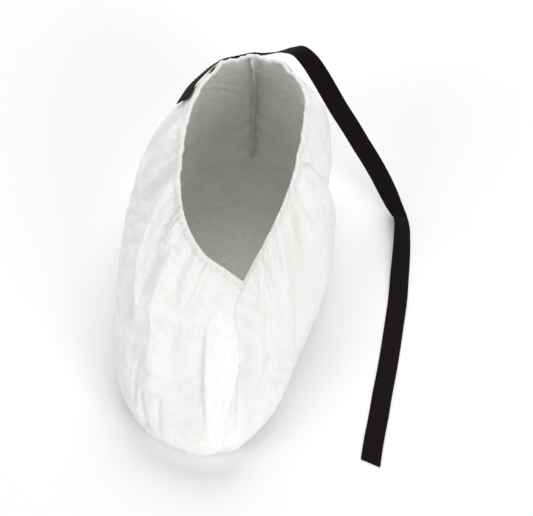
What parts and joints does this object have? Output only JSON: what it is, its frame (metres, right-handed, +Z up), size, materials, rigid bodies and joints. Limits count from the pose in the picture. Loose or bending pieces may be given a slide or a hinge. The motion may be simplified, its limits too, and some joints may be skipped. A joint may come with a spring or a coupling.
{
  "type": "anti-static shoe cover",
  "caption": "Soft white nonwoven cover worn over a shoe or foot, with an elastic ankle opening and a black conductive ribbon sewn at the heel.",
  "frame": {"origin": "on the floor, under the middle of the cover's bounding box without the ribbon's free tail", "axes": "-Y points to the toe and +Y to the heel, +X to the side that the ribbon's free tail lies on (the wearer's inner side), and +Z up"},
  "size_m": [0.193, 0.2823, 0.1254],
  "materials": {
    "nonwoven_cloth": "soft matt spunbond nonwoven with a fine dotted emboss",
    "seam_cloth": "matt, pressed together along the seam",
    "elastic_hem": "matt, gathered over elastic",
    "conductive_ribbon": "satin woven tape"
  },
  "bodies": {
    "root": {"outer_side_panel": "nonwoven_cloth", "inner_side_panel": "nonwoven_cloth", "sole_panel": "nonwoven_cloth", "front_seam": "seam_cloth", "back_seam": "seam_cloth", "opening_hem": "elastic_hem", "ribbon_anchor": "conductive_ribbon", "ribbon_tail": "conductive_ribbon"}
  },
  "joints": []
}
